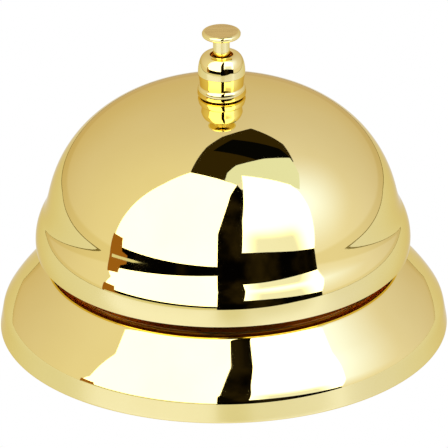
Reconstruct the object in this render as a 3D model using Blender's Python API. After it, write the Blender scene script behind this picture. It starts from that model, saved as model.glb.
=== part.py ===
"""Desk call bell: a polished gold gong on a dished base, rung by a sprung push button.

The button drives a rod down through a hollow post. The rod tips a bell-crank lever,
whose hammer swings out against the inside of the gong. +Z is up, the origin is on the
table under the post, and the hammer lies towards +X.
"""
import math

import bmesh
import bpy
from mathutils import Matrix, Vector

MM = 0.001  # every length below is in millimetres

# Base: one stamped shell, closed by a plate and a soft pad
BASE_RADIUS = 42.5
BASE_LIFT = 0.3  # the gold edge clears the table, because the pad stands proud of it
BASE_SHEET = 0.8
HEM_RADIUS = 0.5
HEM_WIDTH = 2.2
BASE_WALL_LEAN = math.radians(10)
BASE_SHOULDER_HEIGHT = 3.8
BASE_SHOULDER_RADIUS = 5.1
BASE_SHOULDER_END = math.radians(32)
BASE_FLARE_RADIUS = 28.0  # gentle bulge between the shoulder and the cone
CONE_LEAN = math.radians(42.9)  # how far the cone's face looks up
CONE_TOP_RADIUS = 34.55
BASE_LIP_RADIUS = 2.2  # rolled edge round the deck
BASE_LIP_FILLET = 0.3  # where it runs into the deck
DECK_TOP = 12.9
DECK_HOLE_RADIUS = 4.0

# Gong: bulging skirt, cove, domed crown
GONG_SHEET = 1.2
GONG_RIM_HEIGHT = 16.75
SKIRT_CENTRE = (25.65, 18.45)
SKIRT_RADIUS = 9.85
SKIRT_END = math.radians(30)
DOME_RADIUS = 33.65
DOME_BASE_HEIGHT = 19.6
CROWN_HEIGHT = 47.85
DOME_SQUARENESS = 2.3  # 2 is an ellipse
DOME_START = math.radians(13)
COVE_TENSION = 0.3
GONG_HOLE_RADIUS = 3.1

# Hollow post that carries the gong
POST_RADIUS = 3.4
POST_BORE = 1.25
POST_SPRING_BORE = 2.3
SPIGOT_RADIUS = 2.9
FLANGE_RADIUS = 5.5
FLANGE_THICKNESS = 1.0
SEAT_THICKNESS = 0.6
TAIL_RADIUS = 2.2  # threaded tail through the bracket
PIECE_GAP = 0.2  # left between pieces that touch

# Finial nut over the crown: a foot band, a flaring waist and a rounded barrel
FINIAL_BOTTOM = CROWN_HEIGHT + PIECE_GAP
FINIAL_TOP = CROWN_HEIGHT + 8.45
FOOT_BAND_RADIUS = 4.58
FOOT_BAND_TOP = CROWN_HEIGHT + 1.35
WAIST_RADIUS = 4.12
WAIST_BOTTOM = CROWN_HEIGHT + 2.1
BARREL_RADIUS = 4.45
BARREL_BOTTOM = CROWN_HEIGHT + 4.35
FINIAL_RIM_RADIUS = 2.6
FINIAL_LIP_RADIUS = 2.14
FINIAL_LIP_THICKNESS = 1.0
FINIAL_BORE = 3.0

# Plunger: its collar stops under the finial's lip, and over the post when pressed
TRAVEL = 3.0
STOP_GAP = 0.3
ROD_RADIUS = 1.0
COLLAR_RADIUS = 2.6
COLLAR_THICKNESS = 0.8
COLLAR_TOP = FINIAL_TOP - FINIAL_LIP_THICKNESS - STOP_GAP
COLLAR_BOTTOM = COLLAR_TOP - COLLAR_THICKNESS
SPIGOT_TOP = COLLAR_BOTTOM - TRAVEL - STOP_GAP
BUTTON_TOP = CROWN_HEIGHT + 13.0
BUTTON_RADIUS = 3.63
BUTTON_THICKNESS = 1.05
BUTTON_EDGE_RADIUS = 0.48
BUTTON_STEM_RADIUS = 1.56

# Bracket
BRACKET_BACK = -4.5
BRACKET_FRONT = 11.5
BRACKET_HALF_WIDTH = 4.6  # inside
BRACKET_SHEET = 1.0
BRACKET_FOOT = 12.0
BRACKET_PLATE_UNDER = 35.4
RIVET_X = (-1.5, 8.5)
RIVET_Y = (-9.0, 9.0)
RIVET_SHANK = 1.0
RIVET_HEAD = 1.7
HOLE_CLEARANCE = 0.1

# Striker
PIVOT = (7.5, 30.0)  # x and z of the pivot pin, which lies along Y
PIN_RADIUS = 1.0
LEVER_THICKNESS = 1.6
LEVER_BOSS = 2.6
LEVER_TIP = (PIVOT[0] - 8.3, PIVOT[1])
LEVER_TIP_RADIUS = 1.2
HAMMER = (24.67, 17.5)  # x and z of the hammer's centre at rest
HAMMER_RADIUS = 3.0
HAMMER_LENGTH = 7.0
HAMMER_RIVET_RADIUS = 0.8

FINE = 40  # segments round the large shells
MEDIUM = 32
COARSE = 24
SPRING_TURNS = 8
SPRING_WIRE = 0.2
SPRING_RADIUS = 1.75


# Levels up the post, from the crown down
SEAT_TOP = CROWN_HEIGHT - GONG_SHEET - 2 * PIECE_GAP
FLANGE_TOP = SEAT_TOP - SEAT_THICKNESS - PIECE_GAP
SPRING_FLOOR = FLANGE_TOP - FLANGE_THICKNESS - 0.5
BRACKET_TOP = BRACKET_PLATE_UNDER + BRACKET_SHEET


# ---------------------------------------------------------------- outlines

def arc(centre, radius, start, end, steps):
    """Points along an arc, angles in radians."""
    return [(centre[0] + radius * math.cos(start + (end - start) * i / steps),
             centre[1] + radius * math.sin(start + (end - start) * i / steps))
            for i in range(steps + 1)]


def bezier(a, b, c, d, steps):
    """Points along a cubic curve from a to d, both ends included."""
    points = []
    for i in range(steps + 1):
        t = i / steps
        weights = ((1 - t) ** 3, 3 * (1 - t) ** 2 * t, 3 * (1 - t) * t * t, t ** 3)
        points.append(tuple(sum(w * p[k] for w, p in zip(weights, (a, b, c, d))) for k in (0, 1)))
    return points


def fillet(corners, radii, steps=4):
    """A path through corners, each inner one rounded with its own radius."""
    path = [corners[0]]
    for before, corner, after, radius in zip(corners, corners[1:], corners[2:], radii):
        corner = Vector(corner)
        back = (Vector(before) - corner).normalized()
        ahead = (Vector(after) - corner).normalized()
        half = back.angle(ahead) / 2
        centre = corner + (back + ahead).normalized() * radius / math.sin(half)
        reach = radius / math.tan(half)
        first = corner + back * reach - centre
        last = corner + ahead * reach - centre
        turn = math.atan2(first.x * last.y - first.y * last.x, first.dot(last))
        start = math.atan2(first.y, first.x)
        path += arc(centre, radius, start, start + turn, steps)
    return path + [corners[-1]]


def offset(path, distance):
    """The path moved to its left by a distance, with mitred corners."""
    points = [Vector(p) for p in path]
    moved = []
    for i, point in enumerate(points):
        sides = []
        if i > 0:
            sides.append((point - points[i - 1]).normalized())
        if i < len(points) - 1:
            sides.append((points[i + 1] - point).normalized())
        normals = [Vector((-side.y, side.x)) for side in sides]
        middle = sum(normals, Vector((0, 0))).normalized()
        moved.append(tuple(point + middle * distance / middle.dot(normals[0])))
    return moved


def sheet(path, thickness):
    """Closed outline of sheet metal whose right-hand face follows the path."""
    return list(path) + offset(path, thickness)[::-1]


def tapered_bar(a, radius_a, b, radius_b, steps=10):
    """Outline round two circles and the straight flanks between them."""
    along = Vector(b) - Vector(a)
    heading = math.atan2(along.y, along.x)
    spread = math.acos((radius_a - radius_b) / along.length)
    return (arc(b, radius_b, heading - spread, heading + spread, steps)
            + arc(a, radius_a, heading + spread, heading + 2 * math.pi - spread, steps))


# ------------------------------------------------------------------ solids

def material(name, colour, roughness, metallic):
    made = bpy.data.materials.new(name)
    made.use_nodes = True
    shader = made.node_tree.nodes["Principled BSDF"]
    shader.inputs["Base Color"].default_value = (*colour, 1)
    shader.inputs["Roughness"].default_value = roughness
    shader.inputs["Metallic"].default_value = metallic
    return made


def add_object(name, bm, finish, sharp=30):
    """Turns a bmesh in millimetres into a named object in metres."""
    bmesh.ops.recalc_face_normals(bm, faces=bm.faces)
    bmesh.ops.scale(bm, vec=(MM, MM, MM), verts=bm.verts)
    mesh = bpy.data.meshes.new(name)
    bm.to_mesh(mesh)
    bm.free()
    mesh.shade_smooth()
    mesh.set_sharp_from_angle(angle=math.radians(sharp))
    made = bpy.data.objects.new(name, mesh)
    made.data.materials.append(finish)
    bpy.context.scene.collection.objects.link(made)
    return made


def turned(name, outline, finish, segments=MEDIUM, frame=Matrix()):
    """Spins an outline of (radius, height) round its axis. Outlines that start and end
    on the axis give a solid piece, and the others close on themselves as a ring."""
    bm = bmesh.new()
    rings = []
    for radius, height in outline:
        count = 1 if radius == 0 else segments
        turns = [2 * math.pi * i / segments for i in range(count)]
        rings.append([bm.verts.new((radius * math.cos(t), radius * math.sin(t), height))
                      for t in turns])
    pairs = list(zip(rings, rings[1:]))
    if outline[0][0] > 0:
        pairs.append((rings[-1], rings[0]))
    for low, high in pairs:
        for i in range(segments):
            j = (i + 1) % segments
            corners = [low[i % len(low)], low[j % len(low)], high[j % len(high)], high[i % len(high)]]
            face = [v for k, v in enumerate(corners) if v not in corners[:k]]
            if len(face) > 2:
                bm.faces.new(face)
    bmesh.ops.transform(bm, matrix=frame, verts=bm.verts)
    return add_object(name, bm, finish)


def prism(name, outline, finish, start, end, axis="Z"):
    """Extrudes an outline along Z, along Y from (x, z) points or along X from (y, z)."""
    place = {"Z": lambda u, v, w: (u, v, w),
             "Y": lambda u, v, w: (u, w, v),
             "X": lambda u, v, w: (w, u, v)}[axis]
    bm = bmesh.new()
    ends = [[bm.verts.new(place(u, v, w)) for u, v in outline] for w in (start, end)]
    for cap in ends:
        bm.faces.new(cap)
    for i in range(len(outline)):
        j = (i + 1) % len(outline)
        bm.faces.new((ends[0][i], ends[0][j], ends[1][j], ends[1][i]))
    return add_object(name, bm, finish)


def circle(centre, radius, segments=COARSE):
    return arc(centre, radius, 0, 2 * math.pi, segments)[:-1]


def cutter(made):
    made.hide_render = True
    made.display_type = "WIRE"
    return made


def boolean(target, tool, operation="DIFFERENCE"):
    step = target.modifiers.new(operation.lower(), "BOOLEAN")
    step.operation = operation
    step.object = tool
    step.solver = "EXACT"


def along_x(x, y, z):
    """Frame that lays a turned piece along +X."""
    return Matrix.Translation((x, y, z)) @ Matrix.Rotation(math.pi / 2, 4, "Y")


def along_y(x, y, z):
    """Frame that lays a turned piece along +Y."""
    return Matrix.Translation((x, y, z)) @ Matrix.Rotation(-math.pi / 2, 4, "X")


def empty(name, x, y, z):
    made = bpy.data.objects.new(name, None)
    made.location = Vector((x, y, z)) * MM
    bpy.context.scene.collection.objects.link(made)
    return made


def attach(parent, pieces):
    """Parents pieces to an empty and leaves them where they are."""
    for piece in pieces:
        piece.parent = parent
        piece.matrix_parent_inverse = Matrix.Translation(-parent.location)


# -------------------------------------------------------------------- base

def onward_arc(point, radius, start, end, steps):
    """An arc that starts at a point, given as the angles of its outward normal."""
    centre = (point[0] - radius * math.cos(start), point[1] - radius * math.sin(start))
    return arc(centre, radius, start, end, steps)


def base_outline():
    """Outer face of the stamping, from the hem round the edge and up to the deck."""
    wall_foot = BASE_LIFT + HEM_RADIUS
    wall_top = BASE_RADIUS - (BASE_SHOULDER_HEIGHT - wall_foot) * math.tan(BASE_WALL_LEAN)
    hem = [(BASE_RADIUS - HEM_WIDTH, BASE_LIFT)]
    hem += arc((BASE_RADIUS - HEM_RADIUS, wall_foot), HEM_RADIUS, -math.pi / 2, 0, 2)
    shoulder = onward_arc((wall_top, BASE_SHOULDER_HEIGHT), BASE_SHOULDER_RADIUS,
                          BASE_WALL_LEAN, BASE_SHOULDER_END, 3)
    flare = onward_arc(shoulder[-1], BASE_FLARE_RADIUS, BASE_SHOULDER_END, CONE_LEAN, 2)
    foot_radius, foot_height = flare[-1]
    cone_top = foot_height + (foot_radius - CONE_TOP_RADIUS) / math.tan(CONE_LEAN)
    lip_centre = (CONE_TOP_RADIUS - BASE_LIP_RADIUS * math.cos(CONE_LEAN),
                  cone_top - BASE_LIP_RADIUS * math.sin(CONE_LEAN))
    fillet_height = DECK_TOP + BASE_LIP_FILLET
    reach = BASE_LIP_RADIUS + BASE_LIP_FILLET
    turn = math.asin((fillet_height - lip_centre[1]) / reach)
    lip = arc(lip_centre, BASE_LIP_RADIUS, CONE_LEAN, math.pi - turn, 4)
    fillet_centre = (lip_centre[0] - reach * math.cos(turn), fillet_height)
    inside = arc(fillet_centre, BASE_LIP_FILLET, -turn, -math.pi / 2, 1)
    return hem + shoulder + flare[1:] + lip + inside[1:] + [(DECK_HOLE_RADIUS, DECK_TOP)]


def build_base(gold, steel, foam, rivet_holes):
    shell = turned("base_shell", sheet(base_outline(), BASE_SHEET), gold, FINE)
    boolean(shell, rivet_holes)
    plate_bottom = BASE_LIFT + BASE_SHEET + PIECE_GAP
    plate_radius = BASE_RADIUS - BASE_SHEET - 3 * PIECE_GAP
    plate = [(0, plate_bottom), (plate_radius, plate_bottom),
             (plate_radius, plate_bottom + BASE_SHEET), (0, plate_bottom + BASE_SHEET)]
    turned("bottom_plate", plate, steel, FINE)
    pad_radius = BASE_RADIUS - HEM_WIDTH - 3 * PIECE_GAP
    pad_top = plate_bottom - PIECE_GAP
    pad_edge = 0.2
    pad = [(0, 0), (pad_radius - pad_edge, 0), (pad_radius, pad_edge), (pad_radius, pad_top), (0, pad_top)]
    turned("base_pad", pad, foam, FINE)


# -------------------------------------------------------------------- gong

def dome_point(angle):
    power = 2 / DOME_SQUARENESS
    return (DOME_RADIUS * math.cos(angle) ** power,
            DOME_BASE_HEIGHT + (CROWN_HEIGHT - DOME_BASE_HEIGHT) * math.sin(angle) ** power)


def gong_outline():
    """Outer face from the rim up to the hole in the crown."""
    rim = math.asin((GONG_RIM_HEIGHT - SKIRT_CENTRE[1]) / SKIRT_RADIUS)
    skirt = arc(SKIRT_CENTRE, SKIRT_RADIUS, rim, SKIRT_END, 5)
    start = Vector(dome_point(DOME_START))
    ahead = (Vector(dome_point(DOME_START + 0.01)) - start).normalized()
    behind = Vector((-math.sin(SKIRT_END), math.cos(SKIRT_END)))
    reach = (start - Vector(skirt[-1])).length * COVE_TENSION
    cove = bezier(skirt[-1], Vector(skirt[-1]) + behind * reach, start - ahead * reach, start, 5)
    hole = math.acos((GONG_HOLE_RADIUS / DOME_RADIUS) ** (DOME_SQUARENESS / 2))
    steps = 9
    dome = [dome_point(DOME_START + (hole - DOME_START) * i / steps) for i in range(1, steps + 1)]
    return skirt + cove[1:] + dome


def build_gong(gold):
    turned("gong", sheet(gong_outline(), GONG_SHEET), gold, FINE)


# -------------------------------------------------------- post and bracket

def build_post(steel, fibre, zinc):
    washer_thickness = 0.5
    nut_height = 2.0
    washer_top = BRACKET_PLATE_UNDER - PIECE_GAP
    nut_top = washer_top - washer_thickness - PIECE_GAP
    tail_end = nut_top - nut_height - PIECE_GAP
    foot = BRACKET_TOP + PIECE_GAP
    outer = [(TAIL_RADIUS, tail_end), (TAIL_RADIUS, foot), (POST_RADIUS, foot),
             (POST_RADIUS, FLANGE_TOP - FLANGE_THICKNESS), (FLANGE_RADIUS, FLANGE_TOP - FLANGE_THICKNESS),
             (FLANGE_RADIUS, FLANGE_TOP), (SPIGOT_RADIUS, FLANGE_TOP), (SPIGOT_RADIUS, SPIGOT_TOP)]
    inner = [(POST_SPRING_BORE, SPIGOT_TOP), (POST_SPRING_BORE, SPRING_FLOOR),
             (POST_BORE, SPRING_FLOOR), (POST_BORE, tail_end)]
    turned("gong_post", outer + inner, steel)
    bore = SPIGOT_RADIUS + HOLE_CLEARANCE
    turned("gong_seat_washer", ring(bore, FLANGE_RADIUS, SEAT_TOP - SEAT_THICKNESS, SEAT_TOP), fibre)
    tail_bore = TAIL_RADIUS + HOLE_CLEARANCE
    washer = ring(tail_bore, 3.6, washer_top - washer_thickness, washer_top)
    turned("post_lock_washer", washer, zinc, COARSE)
    nut = prism("post_nut", circle((0, 0), 3.6, 6), zinc, nut_top - nut_height, nut_top)
    bore_cut = prism("nut_bore", circle((0, 0), tail_bore), zinc, nut_top - 2 * nut_height, nut_top + 1)
    boolean(nut, cutter(bore_cut))


def ring(inside, outside, bottom, top):
    return [(inside, bottom), (outside, bottom), (outside, top), (inside, top)]


def build_bracket(steel, rivet_holes):
    foot = DECK_TOP + PIECE_GAP
    under = [(-BRACKET_FOOT, foot), (-BRACKET_HALF_WIDTH, foot),
             (-BRACKET_HALF_WIDTH, BRACKET_PLATE_UNDER), (BRACKET_HALF_WIDTH, BRACKET_PLATE_UNDER),
             (BRACKET_HALF_WIDTH, foot), (BRACKET_FOOT, foot)]
    wide, tight = 1.6, 0.6
    path = fillet(under, (wide, tight, tight, wide))
    outline = sheet(path, BRACKET_SHEET)
    bracket = prism("bracket", outline, steel, BRACKET_BACK, BRACKET_FRONT, "X")
    reach = BRACKET_HALF_WIDTH + 3 * BRACKET_SHEET
    pin_hole = prism("pin_hole", circle(PIVOT, PIN_RADIUS + HOLE_CLEARANCE), steel, -reach, reach, "Y")
    tail_hole = prism("tail_hole", circle((0, 0), TAIL_RADIUS + HOLE_CLEARANCE), steel,
                      BRACKET_PLATE_UNDER - 1, BRACKET_TOP + 1)
    for tool in (pin_hole, tail_hole):
        boolean(bracket, cutter(tool))
    boolean(bracket, rivet_holes)


def make_rivet_holes(finish):
    """One cutter with the four rivet holes through the feet and the deck."""
    bm = bmesh.new()
    for x in RIVET_X:
        for y in RIVET_Y:
            made = bmesh.ops.create_cone(bm, cap_ends=True, segments=COARSE, depth=8,
                                         radius1=RIVET_SHANK + HOLE_CLEARANCE,
                                         radius2=RIVET_SHANK + HOLE_CLEARANCE)
            bmesh.ops.translate(bm, vec=(x, y, DECK_TOP), verts=made["verts"])
    return cutter(add_object("rivet_holes", bm, finish))


def build_rivets(steel):
    deck_under = DECK_TOP - BASE_SHEET
    foot_top = DECK_TOP + PIECE_GAP + BRACKET_SHEET
    head_bottom = foot_top + PIECE_GAP / 2
    tail_top = deck_under - PIECE_GAP / 2
    head_height = 0.8
    outline = [(0, tail_top - head_height), (RIVET_HEAD * 0.6, tail_top - head_height),
               (RIVET_HEAD, tail_top - head_height / 2), (RIVET_HEAD, tail_top),
               (RIVET_SHANK, tail_top), (RIVET_SHANK, head_bottom), (RIVET_HEAD, head_bottom),
               (RIVET_HEAD * 0.8, head_bottom + head_height * 0.65),
               (RIVET_HEAD * 0.4, head_bottom + head_height), (0, head_bottom + head_height)]
    places = [(x, y) for x in RIVET_X for y in RIVET_Y]
    for number, (x, y) in enumerate(places, 1):
        turned(f"bracket_rivet_{number}", outline, steel, 16, Matrix.Translation((x, y, 0)))


# ----------------------------------------------------------------- striker

def build_pivot(steel, brass):
    x, z = PIVOT
    outside = BRACKET_HALF_WIDTH + BRACKET_SHEET
    head_start = -outside - PIECE_GAP
    clip_start = outside + PIECE_GAP
    clip_thickness = 0.4
    groove = PIN_RADIUS - 0.3
    groove_gap = 0.1
    pin_end = clip_start + clip_thickness + 0.7
    outline = [(0, head_start - 0.7), (1.6, head_start - 0.7), (1.8, head_start - 0.5),
               (1.8, head_start), (PIN_RADIUS, head_start), (PIN_RADIUS, clip_start - groove_gap),
               (groove, clip_start - groove_gap), (groove, clip_start + clip_thickness + groove_gap),
               (PIN_RADIUS, clip_start + clip_thickness + groove_gap), (PIN_RADIUS, pin_end - 0.2),
               (PIN_RADIUS - 0.2, pin_end), (0, pin_end)]
    turned("pivot_pin", outline, steel, COARSE, along_y(x, 0, z))
    mouth = math.radians(35)
    clip = (arc(PIVOT, 2.1, mouth, 2 * math.pi - mouth, 16)
            + arc(PIVOT, groove + HOLE_CLEARANCE, 2 * math.pi - mouth, mouth, 12))
    prism("pivot_clip", clip, steel, clip_start, clip_start + clip_thickness, "Y")
    start = LEVER_THICKNESS / 2 + 0.15
    end = BRACKET_HALF_WIDTH - 0.15
    spacer = ring(PIN_RADIUS + HOLE_CLEARANCE, 1.9, start, end)
    for side, turn in (("front", math.pi), ("back", 0)):
        frame = Matrix.Rotation(turn, 4, "Z") @ along_y(0, 0, 0)
        turned(f"pivot_spacer_{side}", spacer, brass, COARSE, Matrix.Translation((x, 0, z)) @ frame)


def build_striker(steel, brass):
    half = LEVER_THICKNESS / 2
    lever = prism("striker_lever", tapered_bar(PIVOT, LEVER_BOSS, LEVER_TIP, LEVER_TIP_RADIUS),
                  steel, -half, half, "Y")
    arm_root, arm_end = 2.0, 1.6
    arm = prism("lever_arm", tapered_bar(PIVOT, arm_root, HAMMER, arm_end), steel, -half, half, "Y")
    boolean(lever, cutter(arm), "UNION")
    holes = ((PIVOT, PIN_RADIUS), (HAMMER, HAMMER_RIVET_RADIUS))
    for number, (centre, radius) in enumerate(holes):
        hole = prism(f"lever_hole_{number}", circle(centre, radius + HOLE_CLEARANCE), steel, -3, 3, "Y")
        boolean(lever, cutter(hole))

    back, nose = -HAMMER_LENGTH / 2, HAMMER_LENGTH / 2
    edge = 0.5
    dome = arc((0, nose - HAMMER_RADIUS), HAMMER_RADIUS, math.radians(40), math.pi / 2, 5)[:-1]
    rim = dome[0][1]
    outline = ([(0, back), (HAMMER_RADIUS - edge, back), (HAMMER_RADIUS, back + edge),
                (HAMMER_RADIUS, rim - 0.8)] + dome + [(0, nose)])
    head = turned("hammer_head", outline, brass, COARSE, along_x(HAMMER[0], 0, HAMMER[1]))
    slot_half = half + 0.15
    slot_end = 2.0
    slot = [(HAMMER[0] - 6, HAMMER[1] - 6), (HAMMER[0] + slot_end, HAMMER[1] - 6),
            (HAMMER[0] + slot_end, HAMMER[1] + 6), (HAMMER[0] - 6, HAMMER[1] + 6)]
    boolean(head, cutter(prism("hammer_slot", slot, steel, -slot_half, slot_half, "Y")))
    rivet_hole = circle(HAMMER, HAMMER_RIVET_RADIUS + HOLE_CLEARANCE)
    boolean(head, cutter(prism("hammer_hole", rivet_hole, steel, -6, 6, "Y")))
    reach = HAMMER_RADIUS + 0.05
    rivet_head = 1.3
    rivet = [(0, -reach - 0.5), (rivet_head * 0.7, -reach - 0.5), (rivet_head, -reach - 0.2),
             (rivet_head, -reach), (HAMMER_RIVET_RADIUS, -reach), (HAMMER_RIVET_RADIUS, reach),
             (rivet_head, reach), (rivet_head, reach + 0.2), (rivet_head * 0.7, reach + 0.5),
             (0, reach + 0.5)]
    pin = turned("hammer_rivet", rivet, steel, 16, along_y(HAMMER[0], 0, HAMMER[1]))
    attach(empty("striker_axis", PIVOT[0], 0, PIVOT[1]), (lever, head, pin))


def build_hammer_pad(felt):
    bottom = DECK_TOP + PIECE_GAP
    top = HAMMER[1] - HAMMER_RADIUS - PIECE_GAP
    edge = 0.2
    outline = [(0, bottom), (4, bottom), (4, top - edge), (4 - edge, top), (0, top)]
    turned("hammer_pad", outline, felt, COARSE, Matrix.Translation((HAMMER[0], 0, 0)))


# ----------------------------------------------------------------- plunger

def rod_tip():
    """The rod's tip stops just short of the lever's top flank, a tangent of its boss."""
    flank = math.asin((LEVER_BOSS - LEVER_TIP_RADIUS) / (PIVOT[0] - LEVER_TIP[0]))
    return PIVOT[1] + LEVER_BOSS / math.cos(flank) - PIVOT[0] * math.tan(flank) + STOP_GAP


def build_plunger(gold, steel):
    tip = rod_tip()
    thread = 0.85
    thread_top = BUTTON_TOP - BUTTON_THICKNESS
    outline = arc((0, tip + ROD_RADIUS), ROD_RADIUS, -math.pi / 2, 0, 4)
    outline[0] = (0, tip)
    outline += [(ROD_RADIUS, COLLAR_BOTTOM), (COLLAR_RADIUS, COLLAR_BOTTOM), (COLLAR_RADIUS, COLLAR_TOP),
                (thread, COLLAR_TOP), (thread, thread_top), (0, thread_top)]
    rod = turned("plunger_rod", outline, steel, COARSE)

    under = BUTTON_TOP - BUTTON_THICKNESS
    stem_bottom = COLLAR_TOP + 0.15
    socket = thread + HOLE_CLEARANCE
    edge = arc((BUTTON_RADIUS - BUTTON_EDGE_RADIUS, BUTTON_TOP - BUTTON_EDGE_RADIUS),
               BUTTON_EDGE_RADIUS, 0, math.pi / 2, 4)
    outline = [(socket, stem_bottom), (BUTTON_STEM_RADIUS, stem_bottom), (BUTTON_STEM_RADIUS, under - 0.15),
               (BUTTON_STEM_RADIUS + 0.25, under), (BUTTON_RADIUS - 0.55, under),
               (BUTTON_RADIUS - 0.12, under + 0.2), (BUTTON_RADIUS, under + 0.45)] + edge
    bore_top = thread_top + 0.15
    outline = [(0, bore_top), (socket, bore_top)] + outline + [(0, BUTTON_TOP)]
    button = turned("push_button", outline, gold, MEDIUM)
    attach(empty("plunger_axis", 0, 0, BUTTON_TOP), (rod, button))


def build_finial(gold):
    """Nut that clamps the gong, hollow over the plunger's collar."""
    bottom, top = FINIAL_BOTTOM, FINIAL_TOP
    foot_wall = FOOT_BAND_RADIUS - 0.06
    foot = bezier((WAIST_RADIUS, bottom), (WAIST_RADIUS + 0.3, bottom), (FOOT_BAND_RADIUS, bottom + 0.15),
                  (FOOT_BAND_RADIUS, bottom + 0.5), 3)
    foot += bezier((foot_wall, FOOT_BAND_TOP), (foot_wall - 0.05, FOOT_BAND_TOP + 0.4),
                   (WAIST_RADIUS + 0.2, WAIST_BOTTOM - 0.1), (WAIST_RADIUS, WAIST_BOTTOM), 3)
    crease = (BARREL_RADIUS - 0.06, BARREL_BOTTOM - 0.1)
    waist = bezier((WAIST_RADIUS, WAIST_BOTTOM), (WAIST_RADIUS, WAIST_BOTTOM + 0.9),
                   (crease[0] - 0.12, crease[1] - 0.6), crease, 4)
    shoulder = bezier((BARREL_RADIUS, BARREL_BOTTOM + 0.1), (BARREL_RADIUS, BARREL_BOTTOM + 2.3),
                      (FINIAL_RIM_RADIUS + 1.35, top - 0.05), (FINIAL_RIM_RADIUS, top), 8)
    under_lip = top - FINIAL_LIP_THICKNESS
    inner = [(FINIAL_LIP_RADIUS + 0.15, top - 0.08), (FINIAL_LIP_RADIUS, top - 0.3),
             (FINIAL_LIP_RADIUS, under_lip), (FINIAL_BORE, under_lip), (FINIAL_BORE, bottom)]
    turned("finial_nut", foot + waist[1:] + shoulder + inner, gold)


def build_spring(steel):
    bottom = SPRING_FLOOR + SPRING_WIRE + 0.1
    top = COLLAR_BOTTOM - SPRING_WIRE - 0.1
    steps_per_turn, sides = 12, 6
    total = SPRING_TURNS * steps_per_turn
    rise = (top - bottom) / (SPRING_TURNS * 2 * math.pi)
    bm = bmesh.new()
    rings = []
    for i in range(total + 1):
        turn = 2 * math.pi * i / steps_per_turn
        out = Vector((math.cos(turn), math.sin(turn), 0))
        along = Vector((-SPRING_RADIUS * out.y, SPRING_RADIUS * out.x, rise)).normalized()
        side = along.cross(out)
        centre = out * SPRING_RADIUS + Vector((0, 0, bottom + rise * turn))
        angles = [2 * math.pi * k / sides for k in range(sides)]
        rings.append([bm.verts.new(centre + (out * math.cos(a) + side * math.sin(a)) * SPRING_WIRE)
                      for a in angles])
    for low, high in zip(rings, rings[1:]):
        for k in range(sides):
            j = (k + 1) % sides
            bm.faces.new((low[k], low[j], high[j], high[k]))
    for end in (rings[0], rings[-1]):
        bm.faces.new(end)
    add_object("return_spring", bm, steel)


# -------------------------------------------------------------------- build

def build():
    for old in list(bpy.data.objects):
        bpy.data.objects.remove(old, do_unlink=True)
    gold = material("polished_gold", (0.86, 0.66, 0.27), 0.05, 1.0)
    steel = material("bright_steel", (0.62, 0.62, 0.64), 0.3, 1.0)
    zinc = material("zinc_plate", (0.7, 0.7, 0.66), 0.4, 1.0)
    brass = material("turned_brass", (0.75, 0.58, 0.28), 0.3, 1.0)
    fibre = material("red_fibre", (0.35, 0.08, 0.05), 0.8, 0.0)
    felt = material("grey_felt", (0.25, 0.25, 0.25), 0.95, 0.0)
    foam = material("black_foam", (0.02, 0.02, 0.02), 0.9, 0.0)

    rivet_holes = make_rivet_holes(steel)
    build_base(gold, steel, foam, rivet_holes)
    build_gong(gold)
    build_finial(gold)
    build_post(steel, fibre, zinc)
    build_bracket(steel, rivet_holes)
    build_rivets(steel)
    build_pivot(steel, brass)
    build_striker(steel, brass)
    build_hammer_pad(felt)
    build_plunger(gold, steel)
    build_spring(steel)


build()
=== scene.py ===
"""The desk call bell's looks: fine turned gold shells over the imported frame, finished
metal, felt and foam inside, and the studio that the polished gold mirrors."""
import math

import bmesh
import bpy
from mathutils import Matrix, Quaternion, Vector


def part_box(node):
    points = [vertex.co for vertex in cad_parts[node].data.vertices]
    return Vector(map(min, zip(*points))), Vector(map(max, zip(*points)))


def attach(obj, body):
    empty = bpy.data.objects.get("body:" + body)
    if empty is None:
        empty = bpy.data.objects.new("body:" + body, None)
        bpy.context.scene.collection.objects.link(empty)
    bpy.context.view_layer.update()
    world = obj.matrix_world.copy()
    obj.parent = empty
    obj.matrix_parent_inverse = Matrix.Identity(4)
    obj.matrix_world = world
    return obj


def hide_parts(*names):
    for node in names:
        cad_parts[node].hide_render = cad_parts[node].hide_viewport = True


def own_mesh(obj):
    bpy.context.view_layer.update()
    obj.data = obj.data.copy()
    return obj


MM = 0.001  # outlines are in millimetres, and objects in metres

TURN_STEPS = 256  # faces round the large turned pieces
SMALL_TURN_STEPS = 128
AXIS_RADIUS = 1e-6  # nearer to the axis than this, a ring closes to one point
SHARP_ANGLE = math.radians(35)
CORNER_STEPS = 4
NEARLY_STRAIGHT = math.radians(85)  # half the angle at a corner that needs no rounding

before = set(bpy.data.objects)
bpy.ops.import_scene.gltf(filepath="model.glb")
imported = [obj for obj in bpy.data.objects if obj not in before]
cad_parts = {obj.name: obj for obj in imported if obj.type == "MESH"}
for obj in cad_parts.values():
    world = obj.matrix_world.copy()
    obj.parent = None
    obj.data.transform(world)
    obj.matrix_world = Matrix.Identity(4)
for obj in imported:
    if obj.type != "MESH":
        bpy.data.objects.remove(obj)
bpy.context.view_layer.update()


# ----------------------------------------------------------------- outlines

def arc(centre, radius, start, end, steps):
    """Points along an arc, angles in radians."""
    return [(centre[0] + radius * math.cos(start + (end - start) * i / steps),
             centre[1] + radius * math.sin(start + (end - start) * i / steps))
            for i in range(steps + 1)]


def bezier(a, b, c, d, steps):
    """Points along a cubic curve from a to d."""
    points = []
    for i in range(steps + 1):
        t = i / steps
        weights = ((1 - t) ** 3, 3 * (1 - t) ** 2 * t, 3 * (1 - t) * t * t, t ** 3)
        points.append(tuple(sum(w * p[k] for w, p in zip(weights, (a, b, c, d))) for k in (0, 1)))
    return points


def straight(a, b, steps):
    """Points between a and b, without a itself."""
    return [(a[0] + (b[0] - a[0]) * i / steps, a[1] + (b[1] - a[1]) * i / steps)
            for i in range(1, steps + 1)]


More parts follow.
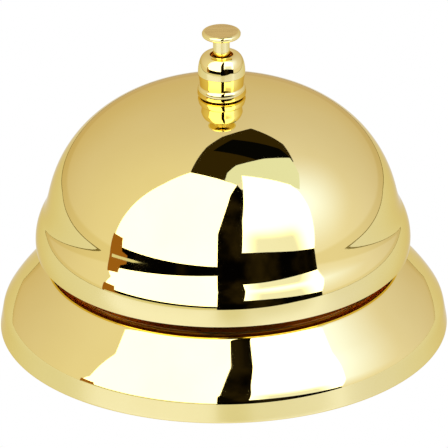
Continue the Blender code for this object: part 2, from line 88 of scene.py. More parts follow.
def onward_arc(point, radius, start, end, steps):
    """An arc that starts at a point, given as the angles of its outward normal."""
    centre = (point[0] - radius * math.cos(start), point[1] - radius * math.sin(start))
    return arc(centre, radius, start, end, steps)


def offset(path, distance):
    """The path moved to its left by a distance."""
    points = [Vector(p) for p in path]
    moved = []
    for i, point in enumerate(points):
        sides = []
        if i > 0:
            sides.append((point - points[i - 1]).normalized())
        if i < len(points) - 1:
            sides.append((points[i + 1] - point).normalized())
        normals = [Vector((-side.y, side.x)) for side in sides]
        middle = sum(normals, Vector((0, 0))).normalized()
        moved.append(tuple(point + middle * distance / middle.dot(normals[0])))
    return moved


def rounded(corners, radius):
    """A closed outline with every corner rounded, less where the sides are short.
    Corners on the axis stay sharp, because the outline is turned about it."""
    path = []
    count = len(corners)
    for i, corner in enumerate(corners):
        here = Vector(corner)
        back = Vector(corners[i - 1]) - here
        ahead = Vector(corners[(i + 1) % count]) - here
        on_axis = abs(here.x) < AXIS_RADIUS
        if on_axis or back.length < AXIS_RADIUS or ahead.length < AXIS_RADIUS:
            path.append(corner)
            continue
        half = back.angle(ahead) / 2
        if half > NEARLY_STRAIGHT:
            path.append(corner)
            continue
        reach = min(radius / math.tan(half), 0.45 * min(back.length, ahead.length))
        size = reach * math.tan(half)
        back.normalize()
        ahead.normalize()
        centre = here + (back + ahead).normalized() * size / math.sin(half)
        first = here + back * reach - centre
        last = here + ahead * reach - centre
        turn = math.atan2(first.x * last.y - first.y * last.x, first.dot(last))
        start = math.atan2(first.y, first.x)
        path += arc(centre, size, start, start + turn, CORNER_STEPS)
    return path


def put_in_scene(name, data):
    made = bpy.data.objects.new(name, data)
    bpy.context.scene.collection.objects.link(made)
    return made


# ---------------------------------------------------------------- materials

WEAR_GRAIN = 2.7  # how much finer the roughness drifts than the colour


def new_material(name):
    made = bpy.data.materials.new(name)
    made.use_nodes = True
    return made, made.node_tree.nodes, made.node_tree.links


def noise(nodes, links, coordinates, scale, detail, stretch):
    """A noise texture on object coordinates, stretched per axis where wanted."""
    texture = nodes.new("ShaderNodeTexNoise")
    texture.inputs["Scale"].default_value = scale
    texture.inputs["Detail"].default_value = detail
    if stretch:
        mapping = nodes.new("ShaderNodeMapping")
        mapping.inputs["Scale"].default_value = stretch
        links.new(coordinates, mapping.inputs["Vector"])
        coordinates = mapping.outputs["Vector"]
    links.new(coordinates, texture.inputs["Vector"])
    return texture.outputs["Fac"]


def spread(nodes, links, value, low, high):
    """Maps 0.3 to 0.7, where a noise mostly lies, to low to high."""
    step = nodes.new("ShaderNodeMapRange")
    step.inputs["From Min"].default_value = 0.3
    step.inputs["From Max"].default_value = 0.7
    step.inputs["To Min"].default_value = low
    step.inputs["To Max"].default_value = high
    links.new(value, step.inputs["Value"])
    return step.outputs["Result"]


def blend(nodes, links, kind, factor, first, second):
    """Mixes two colours, each of them a socket or a plain colour."""
    mix = nodes.new("ShaderNodeMix")
    mix.data_type = "RGBA"
    mix.blend_type = kind
    links.new(factor, mix.inputs["Factor"])
    for socket, value in ((mix.inputs[6], first), (mix.inputs[7], second)):
        if isinstance(value, tuple):
            socket.default_value = (*value, 1)
        else:
            links.new(value, socket)
    return mix.outputs[2]


def bump(nodes, links, height, distance):
    """A normal tilted by a height, with the relief's depth in metres."""
    step = nodes.new("ShaderNodeBump")
    step.inputs["Distance"].default_value = distance
    links.new(height, step.inputs["Height"])
    return step.outputs["Normal"]


def surface(name, dark, light, rough, metallic, grain, stretch, relief, fine):
    """A finish whose colour and roughness drift over a noise, with a fine relief.
    Grain and fine are noise scales, and relief is a depth in metres."""
    made, nodes, links = new_material(name)
    shader = nodes["Principled BSDF"]
    shader.inputs["Metallic"].default_value = metallic
    place = nodes.new("ShaderNodeTexCoord").outputs["Object"]
    drift = noise(nodes, links, place, grain, 4.0, stretch)
    links.new(blend(nodes, links, "MIX", spread(nodes, links, drift, 0, 1), dark, light),
              shader.inputs["Base Color"])
    wear = noise(nodes, links, place, grain * WEAR_GRAIN, 5.0, stretch)
    links.new(spread(nodes, links, wear, *rough), shader.inputs["Roughness"])
    detail = noise(nodes, links, place, fine, 4.0, stretch)
    links.new(bump(nodes, links, detail, relief), shader.inputs["Normal"])
    return made


def make_gold():
    """Mirror-polished gold plate: a faint tint drift, hazy patches and polishing ripple."""
    made = surface("gold_polished", (0.915, 0.775, 0.30), (0.94, 0.805, 0.33),
                   (0.012, 0.035), 1.0, 60, None, 0.0000012, 140)
    made.node_tree.nodes["Principled BSDF"].inputs["Specular Tint"].default_value = (0.9, 0.78, 0.5, 1)
    return made


def make_metals():
    """The other metal finishes, by the names of their slots."""
    # Partly painted shade: the satin roughness of the inner faces is real, but their deep orange tint,
    # darker than the polished gold, is painted shade for the reddish dark under the gong and on the deck
    satin = surface("gold_satin_and_shade", (0.92, 0.45, 0.07), (0.96, 0.54, 0.10), (0.22, 0.34), 1.0, 90,
                    None, 0.000004, 900)
    satin.node_tree.nodes["Principled BSDF"].inputs["Specular Tint"].default_value = (0.9, 0.5, 0.15, 1)
    return {
        "satin": satin,
        "face": surface("gold_brushed", (0.68, 0.48, 0.12), (0.86, 0.65, 0.2), (0.18, 0.34), 1.0, 420,
                        (0.35, 5, 1), 0.000003, 1500),
        "steel": surface("steel_satin", (0.47, 0.47, 0.49), (0.62, 0.62, 0.63), (0.2, 0.38), 1.0, 260,
                         (1, 1, 5), 0.000003, 1400),
        "spring_steel": surface("steel_spring", (0.36, 0.37, 0.40), (0.50, 0.50, 0.52), (0.16, 0.3),
                                1.0, 500, None, 0.000002, 2200),
        "zinc": surface("zinc_plate", (0.58, 0.61, 0.66), (0.76, 0.74, 0.66), (0.28, 0.48), 1.0, 340,
                        None, 0.000005, 1600),
        "turned_brass": surface("brass_turned", (0.68, 0.48, 0.19), (0.82, 0.63, 0.31), (0.18, 0.36),
                                1.0, 160, (14, 1, 1), 0.000004, 700),
    }


def make_soft():
    """Red fibre, grey felt and black foam."""
    fibre = surface("fibre_red", (0.25, 0.05, 0.03), (0.42, 0.11, 0.07), (0.6, 0.85), 0.0, 700,
                    (1, 1, 3), 0.00001, 2600)
    felt = surface("felt_grey", (0.13, 0.13, 0.14), (0.36, 0.36, 0.35), (0.9, 1.0), 0.0, 1300,
                   None, 0.00006, 4200)
    felt.node_tree.nodes["Principled BSDF"].inputs["Sheen Weight"].default_value = 0.5
    foam = surface("foam_black", (0.010, 0.010, 0.011), (0.045, 0.045, 0.047), (0.82, 0.98), 0.0, 1500,
                   None, 0.00005, 3600)
    return {"fibre": fibre, "felt": felt, "foam": foam}


def maths(nodes, links, operation, first, second):
    step = nodes.new("ShaderNodeMath")
    step.operation = operation
    for socket, value in zip(step.inputs, (first, second)):
        if isinstance(value, (int, float)):
            socket.default_value = value
        else:
            links.new(value, socket)
    return step.outputs["Value"]


def dot_with(nodes, links, vector, direction):
    step = nodes.new("ShaderNodeVectorMath")
    step.operation = "DOT_PRODUCT"
    links.new(vector, step.inputs[0])
    step.inputs[1].default_value = direction
    return step.outputs["Value"]


def ramp(nodes, links, value, low, high):
    """0 below low, 1 above high, and smooth between them."""
    step = nodes.new("ShaderNodeMapRange")
    step.interpolation_type = "SMOOTHSTEP"
    step.inputs["From Min"].default_value = low
    step.inputs["From Max"].default_value = high
    links.new(value, step.inputs["Value"])
    return step.outputs["Result"]


def direction_of(nodes, links):
    """Direction of a point as seen from the bell."""
    normal = nodes.new("ShaderNodeVectorMath")
    normal.operation = "NORMALIZE"
    links.new(nodes.new("ShaderNodeTexCoord").outputs["Object"], normal.inputs[0])
    return normal.outputs["Vector"]


def emitter(name):
    """A material that only gives light, to be linked or set at the colour."""
    made, nodes, links = new_material(name)
    nodes.remove(nodes["Principled BSDF"])
    light = nodes.new("ShaderNodeEmission")
    links.new(light.outputs["Emission"], nodes["Material Output"].inputs["Surface"])
    return made, nodes, links, light


# --------------------------------------------------------------- solids

def publish(name, mesh, finish, body, slot, *nodes):
    """Puts a finished mesh in the scene as a piece that stands for CAD nodes."""
    made = put_in_scene(name, mesh)
    made.data.materials.append(finish)
    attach(made, body)
    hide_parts(*nodes)
    return made


def turned_mesh(name, outline, segments=TURN_STEPS, place=Matrix()):
    """Turns a closed outline of (radius, height) in millimetres about the Z axis."""
    bm = bmesh.new()
    rings = []
    for radius, height in outline:
        count = segments if radius > AXIS_RADIUS else 1
        rings.append([bm.verts.new((radius * math.cos(2 * math.pi * i / segments) * MM,
                                    radius * math.sin(2 * math.pi * i / segments) * MM,
                                    height * MM)) for i in range(count)])
    pairs = list(zip(rings, rings[1:]))
    if outline[0][0] > AXIS_RADIUS:
        pairs.append((rings[-1], rings[0]))
    for low, high in pairs:
        if len(low) == 1 and len(high) == 1:
            continue
        for i in range(segments):
            j = (i + 1) % segments
            corners = [low[i % len(low)], low[j % len(low)], high[j % len(high)], high[i % len(high)]]
            bm.faces.new([v for k, v in enumerate(corners) if v not in corners[:k]])
    bmesh.ops.transform(bm, matrix=place, verts=bm.verts)
    bmesh.ops.recalc_face_normals(bm, faces=bm.faces)
    mesh = bpy.data.meshes.new(name)
    bm.to_mesh(mesh)
    bm.free()
    mesh.shade_smooth()
    mesh.set_sharp_from_angle(angle=SHARP_ANGLE)
    return mesh


def span(node):
    """Lowest and highest corner of a CAD node, in millimetres."""
    low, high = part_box(node)
    return low / MM, high / MM


def paint_from(made, finish, first, last=None):
    """Gives a second finish to a run of a turned piece's faces."""
    made.data.materials.append(finish)
    for face in list(made.data.polygons)[first:last]:
        face.material_index = 1


# --------------------------------------------------------------------- base

BASE_SHEET = 0.8
HEM_RADIUS = 0.5
HEM_WIDTH = 2.2
WALL_LEAN = math.radians(10)
SHOULDER_HEIGHT = 3.8
SHOULDER_RADIUS = 5.1
SHOULDER_END = math.radians(32)
FLARE_RADIUS = 28.0  # the gentle bulge between shoulder and cone
CONE_LEAN = math.radians(42.9)
CONE_TOP_RADIUS = 34.55
LIP_RADIUS = 2.2
LIP_FILLET = 0.3
DECK_TOP = 12.9
DECK_HOLE = 4.0


def base_outline():
    """Outer face, from the hem round the edge, up the cone and over the lip to the deck."""
    low, high = span("base_shell")
    edge, foot = high.x, low.z
    wall_foot = foot + HEM_RADIUS
    wall_top = edge - (SHOULDER_HEIGHT - wall_foot) * math.tan(WALL_LEAN)
    path = [(edge - HEM_WIDTH, foot)]
    path += arc((edge - HEM_RADIUS, wall_foot), HEM_RADIUS, -math.pi / 2, 0, 10)
    path += straight(path[-1], (wall_top, SHOULDER_HEIGHT), 6)
    path += onward_arc(path.pop(), SHOULDER_RADIUS, WALL_LEAN, SHOULDER_END, 20)
    path += onward_arc(path.pop(), FLARE_RADIUS, SHOULDER_END, CONE_LEAN, 20)
    rise = (path[-1][0] - CONE_TOP_RADIUS) / math.tan(CONE_LEAN)
    path += straight(path[-1], (CONE_TOP_RADIUS, path[-1][1] + rise), 30)
    lip_centre = (CONE_TOP_RADIUS - LIP_RADIUS * math.cos(CONE_LEAN),
                  path[-1][1] - LIP_RADIUS * math.sin(CONE_LEAN))
    reach = LIP_RADIUS + LIP_FILLET
    turn = math.asin((DECK_TOP + LIP_FILLET - lip_centre[1]) / reach)
    path += arc(lip_centre, LIP_RADIUS, CONE_LEAN, math.pi - turn, 24)[1:]
    fillet_centre = (lip_centre[0] - reach * math.cos(turn), DECK_TOP + LIP_FILLET)
    path += arc(fillet_centre, LIP_FILLET, -turn, -math.pi / 2, 8)[1:]
    return path + [(DECK_HOLE, DECK_TOP)]


def build_base(gold, satin):
    path = base_outline()
    outline = path + offset(path, BASE_SHEET)[::-1]
    made = publish("base_dish", turned_mesh("base_dish", outline), gold, "base", "gold", "base_shell")
    lip_top = max(range(len(path)), key=lambda i: path[i][1])
    paint_from(made, satin, (lip_top + 4) * TURN_STEPS)


# --------------------------------------------------------------------- gong

GONG_SHEET = 1.2
SKIRT_CENTRE = (25.65, 18.45)
SKIRT_RADIUS = 9.85
SKIRT_END = math.radians(30)
DOME_RADIUS = 33.65
DOME_BASE = 19.6
CROWN_RISE = 28.25
DOME_SQUARENESS = 2.3  # 2 is an ellipse
DOME_START = math.radians(13)
DOME_STEPS = 110
COVE_TENSION = 0.3
GONG_HOLE = 3.1


def gong_outline():
    """Outer face: bulging skirt, cove and dome, up to the hole in the crown."""
    power = 2 / DOME_SQUARENESS

    def dome(angle):
        return (DOME_RADIUS * math.cos(angle) ** power,
                DOME_BASE + CROWN_RISE * math.sin(angle) ** power)

    rim = span("gong")[0].z
    rim_angle = math.asin((rim - SKIRT_CENTRE[1]) / SKIRT_RADIUS)
    skirt = arc(SKIRT_CENTRE, SKIRT_RADIUS, rim_angle, SKIRT_END, 30)
    start = Vector(dome(DOME_START))
    ahead = (Vector(dome(DOME_START + 0.001)) - start).normalized()
    behind = Vector((-math.sin(SKIRT_END), math.cos(SKIRT_END)))
    reach = (start - Vector(skirt[-1])).length * COVE_TENSION
    cove = bezier(skirt[-1], Vector(skirt[-1]) + behind * reach, start - ahead * reach, start, 30)
    hole = math.acos((GONG_HOLE / DOME_RADIUS) ** (DOME_SQUARENESS / 2))
    top = [dome(DOME_START + (hole - DOME_START) * i / DOME_STEPS) for i in range(1, DOME_STEPS + 1)]
    return skirt + cove[1:] + top


def build_gong(gold, satin):
    path = gong_outline()
    outline = path + offset(path, GONG_SHEET)[::-1]
    made = publish("gong_bell", turned_mesh("gong_bell", outline), gold, "base", "gold", "gong")
    paint_from(made, satin, len(path) * TURN_STEPS, (2 * len(path) - 1) * TURN_STEPS)


# ------------------------------------------------------- finial and button

FOOT_BAND_RADIUS = 4.58
FOOT_BAND_TOP = 1.35  # this and the next heights are above the crown
WAIST_RADIUS = 4.12
WAIST_HEIGHT = 2.1
FLARE_TOP = 4.25
BARREL_RADIUS = 4.45
BARREL_BOTTOM = 4.45
NUT_RIM_RADIUS = 2.6
NUT_LIP_RADIUS = 2.14
NUT_LIP_THICKNESS = 1.0
NUT_BORE = 3.0
NUT_LIFT = 0.2  # from the crown to the CAD nut
NUT_SEAM = 0.1  # how far the finished nut closes that gap


def build_finial(gold, satin):
    low, high = span("finial_nut")
    bottom, top, crown = low.z - NUT_SEAM, high.z, low.z - NUT_LIFT
    waist = (WAIST_RADIUS, crown + WAIST_HEIGHT)
    band_wall = FOOT_BAND_RADIUS - 0.06
    foot = bezier((WAIST_RADIUS, bottom), (WAIST_RADIUS + 0.3, bottom),
                  (FOOT_BAND_RADIUS, bottom + 0.15), (FOOT_BAND_RADIUS, bottom + 0.5), 12)
    foot += bezier((band_wall, crown + FOOT_BAND_TOP), (band_wall - 0.05, crown + 1.75),
                   (WAIST_RADIUS + 0.2, crown + 2.0), waist, 12)
    flare = bezier(waist, (WAIST_RADIUS, crown + 3.0), (BARREL_RADIUS - 0.18, crown + 3.65),
                   (BARREL_RADIUS - 0.06, crown + FLARE_TOP), 24)
    shoulder = bezier((BARREL_RADIUS, crown + BARREL_BOTTOM), (BARREL_RADIUS, crown + 6.65),
                      (NUT_RIM_RADIUS + 1.35, top - 0.05), (NUT_RIM_RADIUS, top), 40)
    inner = bezier((NUT_RIM_RADIUS, top), (NUT_LIP_RADIUS + 0.15, top), (NUT_LIP_RADIUS, top - 0.1),
                   (NUT_LIP_RADIUS, top - 0.3), 8)
    lip_under = top - NUT_LIP_THICKNESS
    inner += [(NUT_LIP_RADIUS, lip_under), (NUT_BORE, lip_under), (NUT_BORE, bottom)]
    outer = foot + flare[1:] + shoulder
    mesh = turned_mesh("finial_turned", outer + inner[1:], SMALL_TURN_STEPS)
    made = publish("finial_turned", mesh, gold, "base", "gold", "finial_nut")
    paint_from(made, satin, (len(outer) + 5) * SMALL_TURN_STEPS)


BUTTON_RADIUS = 3.63
BUTTON_THICKNESS = 1.05
BUTTON_EDGE_RADIUS = 0.48
STEM_RADIUS = 1.56
SOCKET_RADIUS = 0.95  # for the rod's end


def build_button(gold, face):
    low, high = span("push_button")
    under = high.z - BUTTON_THICKNESS
    socket_top = under + 0.15
    stem = [(0, socket_top), (SOCKET_RADIUS, socket_top), (SOCKET_RADIUS, low.z), (STEM_RADIUS, low.z),
            (STEM_RADIUS, under - 0.15), (STEM_RADIUS + 0.25, under)]
    below = bezier((BUTTON_RADIUS - 0.55, under), (BUTTON_RADIUS - 0.2, under),
                   (BUTTON_RADIUS, under + 0.15), (BUTTON_RADIUS, under + 0.45), 8)
    edge = arc((BUTTON_RADIUS - BUTTON_EDGE_RADIUS, high.z - BUTTON_EDGE_RADIUS), BUTTON_EDGE_RADIUS,
               0, math.pi / 2, 12)
    mesh = turned_mesh("button_turned", stem + below + edge + [(0, high.z)], SMALL_TURN_STEPS)
    made = publish("button_turned", mesh, gold, "plunger", "gold", "push_button")
    paint_from(made, face, -SMALL_TURN_STEPS)


# ------------------------------------------------------------- inner pieces

def lathe(name, corners, radius, finish, body, slot, node, segments=64, place=Matrix()):
    """A turned piece with broken edges, in the place of one CAD node."""
    mesh = turned_mesh(name, rounded(corners, radius), segments, place=place)
    return publish(name, mesh, finish, body, slot, node)


def lying(x, y, z, axis):
    """Frame, in metres, that lays a turned piece along X or Y."""
    turn = Matrix.Rotation(math.pi / 2, 4, "Y") if axis == "X" else Matrix.Rotation(-math.pi / 2, 4, "X")
    return Matrix.Translation(Vector((x, y, z)) * MM) @ turn


def build_underside(steel, foam):
    low, high = span("bottom_plate")
    plate = [(0, low.z), (high.x, low.z), (high.x, high.z), (0, high.z)]
    lathe("plate_turned", plate, 0.2, steel, "base", "steel", "bottom_plate", 192)
    low, high = span("base_pad")
    pad = [(0, low.z), (high.x, low.z), (high.x, high.z), (0, high.z)]
    pad = lathe("pad_turned", pad, 0.3, foam, "base", "foam", "base_pad", 192)


def build_post(steel, fibre, zinc):
    low, high = span("gong_post")
    seat_low, seat_high = span("gong_seat_washer")
    washer_low, washer_high = span("post_lock_washer")
    foot = span("bracket")[1].z + 0.2
    flange = seat_low.z - 0.2
    tail, post, edge, spigot = 2.2, 3.4, 5.5, 2.9
    bore, spring_bore = 1.25, 2.3
    floor = flange - 1.5
    outer = [(tail, low.z), (tail, foot), (post, foot), (post, flange - 1), (edge, flange - 1),
             (edge, flange), (spigot, flange), (spigot, high.z)]
    inner = [(spring_bore, high.z), (spring_bore, floor), (bore, floor), (bore, low.z)]
    lathe("post_turned", outer + inner, 0.15, steel, "base", "steel", "gong_post", 96)
    seat = [(3.0, seat_low.z), (edge, seat_low.z), (edge, seat_high.z), (3.0, seat_high.z)]
    lathe("seat_washer_turned", seat, 0.14, fibre, "base", "fibre", "gong_seat_washer", 96)
    lock = [(2.3, washer_low.z), (3.6, washer_low.z), (3.6, washer_high.z), (2.3, washer_high.z)]
    lathe("lock_washer_turned", lock, 0.1, zinc, "base", "zinc", "post_lock_washer", 64)


def build_rivets(steel):
    """Domed over the foot, and hammered flatter under the deck."""
    foot_top = DECK_TOP + 1.2
    for number in (1, 2, 3, 4):
        low, high = span(f"bracket_rivet_{number}")
        middle = (low + high) / 2
        size, shank, head = 1.7, 1.0, 0.8
        top, bottom = high.z, low.z
        upper = bezier((size, top - head), (size, top - head * 0.45), (size * 0.5, top), (0, top), 12)
        lower = bezier((0, bottom), (size * 0.7, bottom), (size, bottom + head * 0.3),
                       (size, bottom + head), 12)
        outline = lower + [(shank, bottom + head), (shank, foot_top + 0.1)] + upper
        place = Matrix.Translation(Vector((middle.x, middle.y, 0)) * MM)
        name = f"rivet_{number}"
        publish(name, turned_mesh(name, outline, 48, place=place), steel, "base", "steel",
                f"bracket_rivet_{number}")


def build_pivot(steel, brass):
    low, high = span("pivot_pin")
    middle = (low + high) / 2
    pin, size, groove = 1.0, 1.8, 0.7
    clip_low, clip_high = span("pivot_clip")
    outline = [(0, low.y), (size, low.y), (size, low.y + 0.7), (pin, low.y + 0.7),
               (pin, clip_low.y - 0.1), (groove, clip_low.y - 0.1), (groove, clip_high.y + 0.1),
               (pin, clip_high.y + 0.1), (pin, high.y), (0, high.y)]
    lathe("pin_turned", outline, 0.18, steel, "base", "steel", "pivot_pin", 64,
          lying(middle.x, 0, middle.z, "Y"))
    for side in ("front", "back"):
        low, high = span(f"pivot_spacer_{side}")
        ring = [(1.1, low.y), (1.9, low.y), (1.9, high.y), (1.1, high.y)]
        lathe(f"spacer_{side}", ring, 0.15, brass, "base", "turned_brass", f"pivot_spacer_{side}", 64,
              lying(middle.x, 0, middle.z, "Y"))


def build_hammer(steel, felt):
    low, high = span("hammer_rivet")
    middle = (low + high) / 2
    size, shank, reach = 1.3, 0.8, high.y - 0.5
    crown = bezier((size, reach), (size, reach + 0.3), (size * 0.6, high.y), (0, high.y), 10)
    outline = [(r, -y) for r, y in reversed(crown)] + [(shank, -reach), (shank, reach)] + crown
    mesh = turned_mesh("hammer_rivet_turned", outline, 48, place=lying(middle.x, 0, middle.z, "Y"))
    publish("hammer_rivet_turned", mesh, steel, "striker", "steel", "hammer_rivet")
    low, high = span("hammer_pad")
    middle = (low + high) / 2
    radius = (high.x - low.x) / 2
    pad = [(0, low.z), (radius, low.z), (radius, high.z), (0, high.z)]
    pad = lathe("hammer_pad_turned", pad, 0.35, felt, "base", "felt", "hammer_pad", 96,
                Matrix.Translation(Vector((middle.x, 0, 0)) * MM))


def build_rod(steel):
    low, high = span("plunger_rod")
    spring_top = span("return_spring")[1].z
    rod, collar, thread, thickness = 1.0, 2.6, 0.85, 0.8
    bottom = spring_top + 0.1
    outline = [(0, low.z)] + arc((0, low.z + rod), rod, -math.pi / 2, 0, 12)[1:]
    outline += rounded([(rod, bottom), (collar, bottom), (collar, bottom + thickness),
                        (thread, bottom + thickness), (thread, high.z)], 0.15)
    outline += [(0, high.z)]
    mesh = turned_mesh("rod_turned", outline, 64)
    publish("rod_turned", mesh, steel, "plunger", "steel", "plunger_rod")


def build_spring(finish):
    """A coil between the post's floor and the plunger's collar."""
    low, high = span("return_spring")
    wire = 0.2
    radius = high.x - wire
    turns, steps, sides = 8, 40, 12
    bottom, top = low.z + wire, high.z - wire
    total = turns * steps
    bm = bmesh.new()
    rings = []
    for i in range(total + 1):
        turn = 2 * math.pi * i / steps
        out = Vector((math.cos(turn), math.sin(turn), 0))
        rise = (top - bottom) / (2 * math.pi * turns)
        along = Vector((-radius * out.y, radius * out.x, rise)).normalized()
        side = along.cross(out)
        centre = out * radius + Vector((0, 0, bottom + (top - bottom) * i / total))
        rings.append([bm.verts.new((centre + (out * math.cos(a) + side * math.sin(a)) * wire) * MM)
                      for a in (2 * math.pi * k / sides for k in range(sides))])
    for first, second in zip(rings, rings[1:]):
        for k in range(sides):
            j = (k + 1) % sides
            bm.faces.new((first[k], first[j], second[j], second[k]))
    for end in (rings[0], rings[-1]):
        bm.faces.new(end)
    bmesh.ops.recalc_face_normals(bm, faces=bm.faces)
    mesh = bpy.data.meshes.new("spring_coil")
    bm.to_mesh(mesh)
    bm.free()
    mesh.shade_smooth()
    mesh.set_sharp_from_angle(angle=math.radians(50))
    coil = publish("spring_coil", mesh, finish, "base", "spring_steel", "return_spring")
    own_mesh(coil)


def finish_cad(node, finish, edge):
    """Keeps a CAD node, and breaks its edges."""
    made = bpy.data.objects[node]
    made.material_slots[0].material = finish
    weld = made.modifiers.new("weld", "WELD")
    weld.merge_threshold = 0.00001
    bevel = made.modifiers.new("bevel", "BEVEL")
    bevel.width = edge * MM
    bevel.segments = 3
    bevel.limit_method = "ANGLE"
    bevel.angle_limit = math.radians(40)
    bevel.use_clamp_overlap = True


# ------------------------------------------------------------------- studio

def sky(azimuth, elevation):
    """A direction. Azimuth 0 is towards the camera, and 90 is to its right."""
    a, e = math.radians(azimuth), math.radians(elevation)
    return Vector((math.sin(a) * math.cos(e), -math.cos(a) * math.cos(e), math.sin(e)))


def overhead(right, front):
    """A direction near the zenith, in degrees to the right of it and in front of it."""
    return sky(math.degrees(math.atan2(right, front)), 90 - math.hypot(right, front))


def glow(name, colour, strength=1.0):
    made, _, _, light = emitter(name)
    light.inputs["Color"].default_value = (*colour, 1)
    light.inputs["Strength"].default_value = strength
    return made


CARD_STEPS = 12  # points along each side of a card


def card(name, corners, distance, finish):
    """A sheet held at a distance round the bell, with its corners in given directions.
    It is there for the reflections, so the camera doesn't see it."""
    outline = []
    for a, b in zip(corners, corners[1:] + corners[:1]):
        outline += [a.slerp(b, i / CARD_STEPS) * distance for i in range(CARD_STEPS)]
    middle = sum(outline, Vector()).normalized() * distance
    mesh = bpy.data.meshes.new(name)
    count = len(outline)
    mesh.from_pydata([middle] + outline, [], [(0, i + 1, (i + 1) % count + 1) for i in range(count)])
    made = put_in_scene(name, mesh)
    made.data.materials.append(finish)
    made.visible_camera = False
    return made


def cool_glow():
    """The right softbox: white, and creamy towards its foot."""
    made, nodes, links, light = emitter("softbox_cool")
    out = direction_of(nodes, links)
    up = ramp(nodes, links, dot_with(nodes, links, out, (0.2, 0, 1)), 0.46, 0.66)
    inner = ramp(nodes, links, dot_with(nodes, links, out, sky(-30, 0)), 0.04, 0.22)
    outer = ramp(nodes, links, dot_with(nodes, links, out, (1, 0, 0)), 0.16, 0.38)
    ends = maths(nodes, links, "MULTIPLY", inner, outer)
    cream = maths(nodes, links, "MULTIPLY", maths(nodes, links, "SUBTRACT", 1, up), ends)
    links.new(blend(nodes, links, "MIX", cream, (3.2, 3.2, 3.3), (0.98, 1.04, 1.32)),
              light.inputs["Color"])
    return made


def dark_glow():
    """The unlit room: black, with brown patches."""
    made, nodes, links, light = emitter("room_dark")
    place = nodes.new("ShaderNodeTexCoord").outputs["Object"]
    patches = ramp(nodes, links, noise(nodes, links, place, 1.6, 4.0, (1, 1, 0.6)), 0.45, 0.75)
    links.new(blend(nodes, links, "MIX", patches, (0.0008, 0.0006, 0.0006), (0.022, 0.015, 0.005)),
              light.inputs["Color"])
    return made


def build_softboxes():
    """Two large lights, left and right of the camera."""
    left = [sky(-73.8, 3), sky(-74, 30), sky(-75.6, 60), overhead(-14.4, 1.5), overhead(7.2, 14.2),
            sky(10, 66), sky(5, 57.5), sky(0, 45), sky(-3.7, 31), sky(-3.7, 3)]
    right = [sky(12, 14), sky(13.8, 30), sky(15.6, 42.5), sky(20, 53.8), sky(23, 60), sky(28.8, 67.5),
             overhead(8.9, 5.6), overhead(34.4, 7.2), sky(76, 48), sky(70, 35), sky(64, 20),
             sky(59.5, 4.5), sky(46, 7.6), sky(36, 10.2), sky(27, 12.2)]
    card("softbox_left", left, 1.5, glow("softbox_warm", (1, 0.97, 0.95), 3.0))
    card("softbox_right", right, 1.5, cool_glow())


def build_flags():
    """What the gold mirrors between and above the softboxes."""
    black = glow("flag_black", (0.002, 0.002, 0.002))
    umber = glow("flag_umber", (0.030, 0.019, 0.003))
    card("dark_room", [sky(-67, -8), sky(59.5, -8), sky(59.5, 4.5), sky(28, 70), sky(27, 76),
                       sky(-67, 3)], 1.9, dark_glow())
    card("hood", [overhead(-14.4, 1.3), overhead(-5.6, -20), overhead(0, -29), overhead(8.3, -36.9),
                  overhead(21.7, -26.1), overhead(30, -13), overhead(10, 10), overhead(1.1, 12)],
         1.8, umber)
    card("hood_slot", [overhead(3.3, -26.7), overhead(21.1, -21.7), overhead(27.4, -16.1),
                       overhead(13.3, -9.8), overhead(-3.3, -16.7)], 1.75, black)
    card("green_card", [overhead(27.4, -15.6), overhead(35.6, -4.4), overhead(40.6, 8.3),
                        overhead(8.4, 5.8), overhead(7.2, 14.0), overhead(1.1, 10.2),
                        overhead(2.2, 3.3), overhead(5.6, -3.3), overhead(16.7, -11.1)],
         1.7, glow("card_green", (0.85, 0.95, 1.10)))
    card("orange_card", [sky(-75, 10), sky(-67.5, 10), sky(-66, -0.5), sky(-62, -1), sky(-62, -6),
                         sky(-75, -6)], 1.4, glow("card_orange", (0.35, 0.135, 0.018)))
    card("board_lip", [sky(-70, -0.3), sky(-3.7, -0.3), sky(-3.7, 3.0), sky(-55, 3.0),
                       sky(-70, 1.3)], 0.27, glow("board_lit", (0.77, 0.75, 0.60)))


HALO_AT = (60, 42)  # azimuth and elevation of the bright patch on the room's wall
HALO_REACH = math.radians(45)
HALO_FALL = 1.5
ROOM_RADIUS = 2.6


def build_room():
    """A wide pale dome round everything, with a bright patch and a duller floor."""
    made, nodes, links, light = emitter("room_pale")
    out = direction_of(nodes, links)
    side = ramp(nodes, links, dot_with(nodes, links, out, (1, 0, 0)), -0.5, 0.5)
    near = ramp(nodes, links, dot_with(nodes, links, out, (0, -1, 0)), -1.0, 0.35)
    warm = blend(nodes, links, "MIX", near, (0.715, 0.635, 0.60), (0.87, 0.815, 0.75))
    cool = blend(nodes, links, "MIX", near, (0.705, 0.65, 0.71), (0.92, 0.90, 1.03))
    sides = blend(nodes, links, "MIX", side, warm, cool)
    away = maths(nodes, links, "ARCCOSINE", dot_with(nodes, links, out, sky(*HALO_AT)), 0)
    inward = maths(nodes, links, "SUBTRACT", 1, maths(nodes, links, "DIVIDE", away, HALO_REACH))
    halo = maths(nodes, links, "POWER", maths(nodes, links, "MAXIMUM", inward, 0), HALO_FALL)
    lit = blend(nodes, links, "ADD", halo, sides, (0.36, 0.7, 2.1))
    low = ramp(nodes, links, dot_with(nodes, links, out, (0, 0, -1)), -0.02, 0.03)
    links.new(blend(nodes, links, "MULTIPLY", low, lit, (0.93, 0.9, 0.78)), light.inputs["Color"])
    mesh = bpy.data.meshes.new("room")
    bm = bmesh.new()
    bmesh.ops.create_uvsphere(bm, u_segments=48, v_segments=24, radius=ROOM_RADIUS)
    bm.to_mesh(mesh)
    bm.free()
    room = put_in_scene("room", mesh)
    room.data.materials.append(made)
    room.visible_camera = False
    made.cycles.emission_sampling = "NONE"


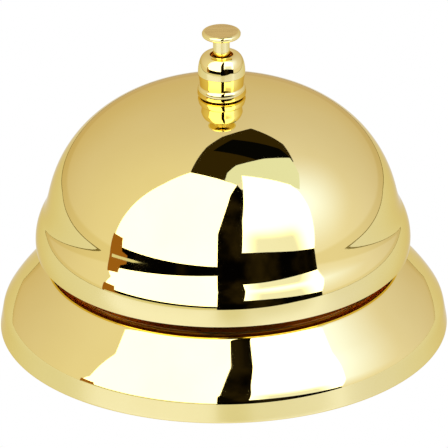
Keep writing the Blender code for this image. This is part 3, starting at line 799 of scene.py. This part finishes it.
def rectangle(name, x, y, z, finish):
    """A flat sheet, with x and y as its lowest and highest values."""
    corners = [(x[0], y[0], z), (x[1], y[0], z), (x[1], y[1], z), (x[0], y[1], z)]
    mesh = bpy.data.meshes.new(name)
    mesh.from_pydata(corners, [], [(0, 1, 2, 3)])
    made = put_in_scene(name, mesh)
    made.data.materials.append(finish)
    return made


def board_finish():
    """Pale board with a soft gloss, in which the softboxes show."""
    made, nodes, links, light = emitter("board_pale")
    light.inputs["Color"].default_value = (0.704, 0.685, 0.55, 1)
    gloss = nodes.new("ShaderNodeBsdfGlossy")
    gloss.inputs["Roughness"].default_value = 0.4
    gloss.inputs["Color"].default_value = (0.12, 0.15, 0.34, 1)
    both = nodes.new("ShaderNodeAddShader")
    links.new(light.outputs["Emission"], both.inputs[0])
    links.new(gloss.outputs["BSDF"], both.inputs[1])
    links.new(both.outputs["Shader"], nodes["Material Output"].inputs["Surface"])
    return made


def build_floor():
    """White to the camera. The gold mirrors the pale board and its dark rim instead."""
    floor = rectangle("floor", (-3, 3), (-3, 3), -0.0002, glow("floor_white", (1, 1, 1)))
    floor.visible_glossy = False
    floor.visible_diffuse = False
    side, front, back, edge = 0.24, 0.265, 0.2, 0.017
    board = rectangle("board", (-side, side), (-front, back), -0.0001, board_finish())
    rim = rectangle("board_rim", (-side - edge, side + edge), (-front - edge, back + edge), -0.00015,
                    glow("board_dark", (0.22, 0.18, 0.08)))
    for made in (board, rim):
        made.visible_camera = False


def build_camera():
    lens = bpy.data.cameras.new("camera")
    lens.lens = 517.2
    lens.sensor_width = 36
    camera = put_in_scene("camera", lens)
    aim, distance, elevation = Vector((0.0002, 0, 0.0209)), 1.2179, 25.68
    roll = Quaternion((0, 0, 1), math.radians(-0.5))
    back = sky(0, elevation)
    camera.location = aim + back * distance
    camera.rotation_euler = ((-back).to_track_quat("-Z", "Y") @ roll).to_euler()
    lens.clip_end = 20
    bpy.context.scene.camera = camera


def build_studio():
    world = bpy.data.worlds.new("studio")
    bpy.context.scene.world = world
    world.use_nodes = True
    world.node_tree.nodes["Background"].inputs["Color"].default_value = (1, 1, 1, 1)
    bpy.context.scene.view_settings.view_transform = "Standard"
    build_room()
    build_softboxes()
    build_flags()
    build_floor()
    build_camera()


gold = make_gold()
metals = make_metals()
soft = make_soft()
steel, zinc, brass = metals["steel"], metals["zinc"], metals["turned_brass"]
build_base(gold, metals["satin"])
build_gong(gold, metals["satin"])
build_finial(gold, metals["satin"])
build_button(gold, metals["face"])
build_underside(steel, soft["foam"])
build_post(steel, soft["fibre"], zinc)
build_rivets(steel)
build_pivot(steel, brass)
build_hammer(steel, soft["felt"])
build_rod(steel)
build_spring(metals["spring_steel"])
finish_cad("bracket", steel, 0.2)
finish_cad("striker_lever", steel, 0.15)
finish_cad("hammer_head", brass, 0.12)
finish_cad("post_nut", zinc, 0.15)
finish_cad("pivot_clip", metals["spring_steel"], 0.06)
build_studio()
